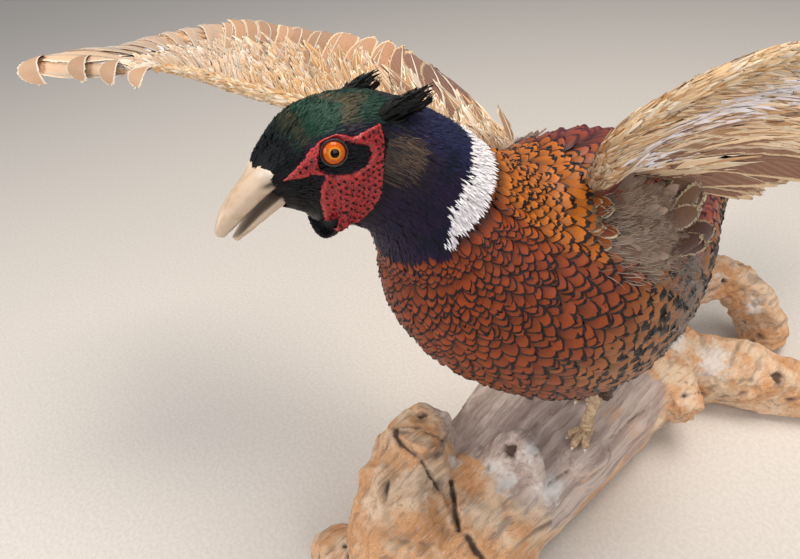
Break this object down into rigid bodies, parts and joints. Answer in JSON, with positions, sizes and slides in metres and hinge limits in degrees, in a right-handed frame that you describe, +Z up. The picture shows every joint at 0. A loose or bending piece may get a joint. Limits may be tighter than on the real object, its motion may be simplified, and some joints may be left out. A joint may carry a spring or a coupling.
{
  "type": "taxidermy pheasant",
  "caption": "Mounted cock ring-necked pheasant standing on driftwood, head low and forward, one wing level and the other raised, long pointed tail behind.",
  "frame": {"origin": "on the floor, on the flat underside of the driftwood, near the middle of its length", "axes": "+Z up, the bird looks along -Y and its left side is +X"},
  "size_m": [0.6684, 0.8556, 0.4802],
  "materials": {
    "wood": "weathered bare driftwood, dry and unvarnished",
    "body_feathers": "copper orange body feathers with dark tips",
    "neck_feathers": "glossy dark blue and green head and neck feathers",
    "horn": "pale horn bill",
    "eye_glass": "polished glass eye, amber with a black pupil",
    "leg_scales": "dry scaled skin of legs and toes",
    "wing_feathers": "buff flight feathers and coverts, barred and streaked",
    "tail_feathers": "olive buff tail feathers with dark bars"
  },
  "bodies": {
    "root": {"trunk": "body_feathers", "neck": "neck_feathers", "head": "neck_feathers", "bill_upper": "horn", "bill_lower": "horn", "tail_left": "tail_feathers", "tail_right": "tail_feathers", "wing_left_arm": "wing_feathers", "wing_left_hand": "wing_feathers", "wing_left_tertials": "wing_feathers", "wing_left_secondaries": "wing_feathers", "wing_left_primaries": "wing_feathers", "wing_right_arm": "wing_feathers", "wing_right_hand": "wing_feathers", "wing_right_tertials": "wing_feathers", "wing_right_secondaries": "wing_feathers", "wing_right_primaries": "wing_feathers", "thigh_left": "body_feathers", "foot_left": "leg_scales", "eye_left": "eye_glass", "ear_tuft_left": "neck_feathers", "thigh_right": "body_feathers", "foot_right": "leg_scales", "eye_right": "eye_glass", "ear_tuft_right": "neck_feathers", "driftwood": "wood"}
  },
  "joints": []
}
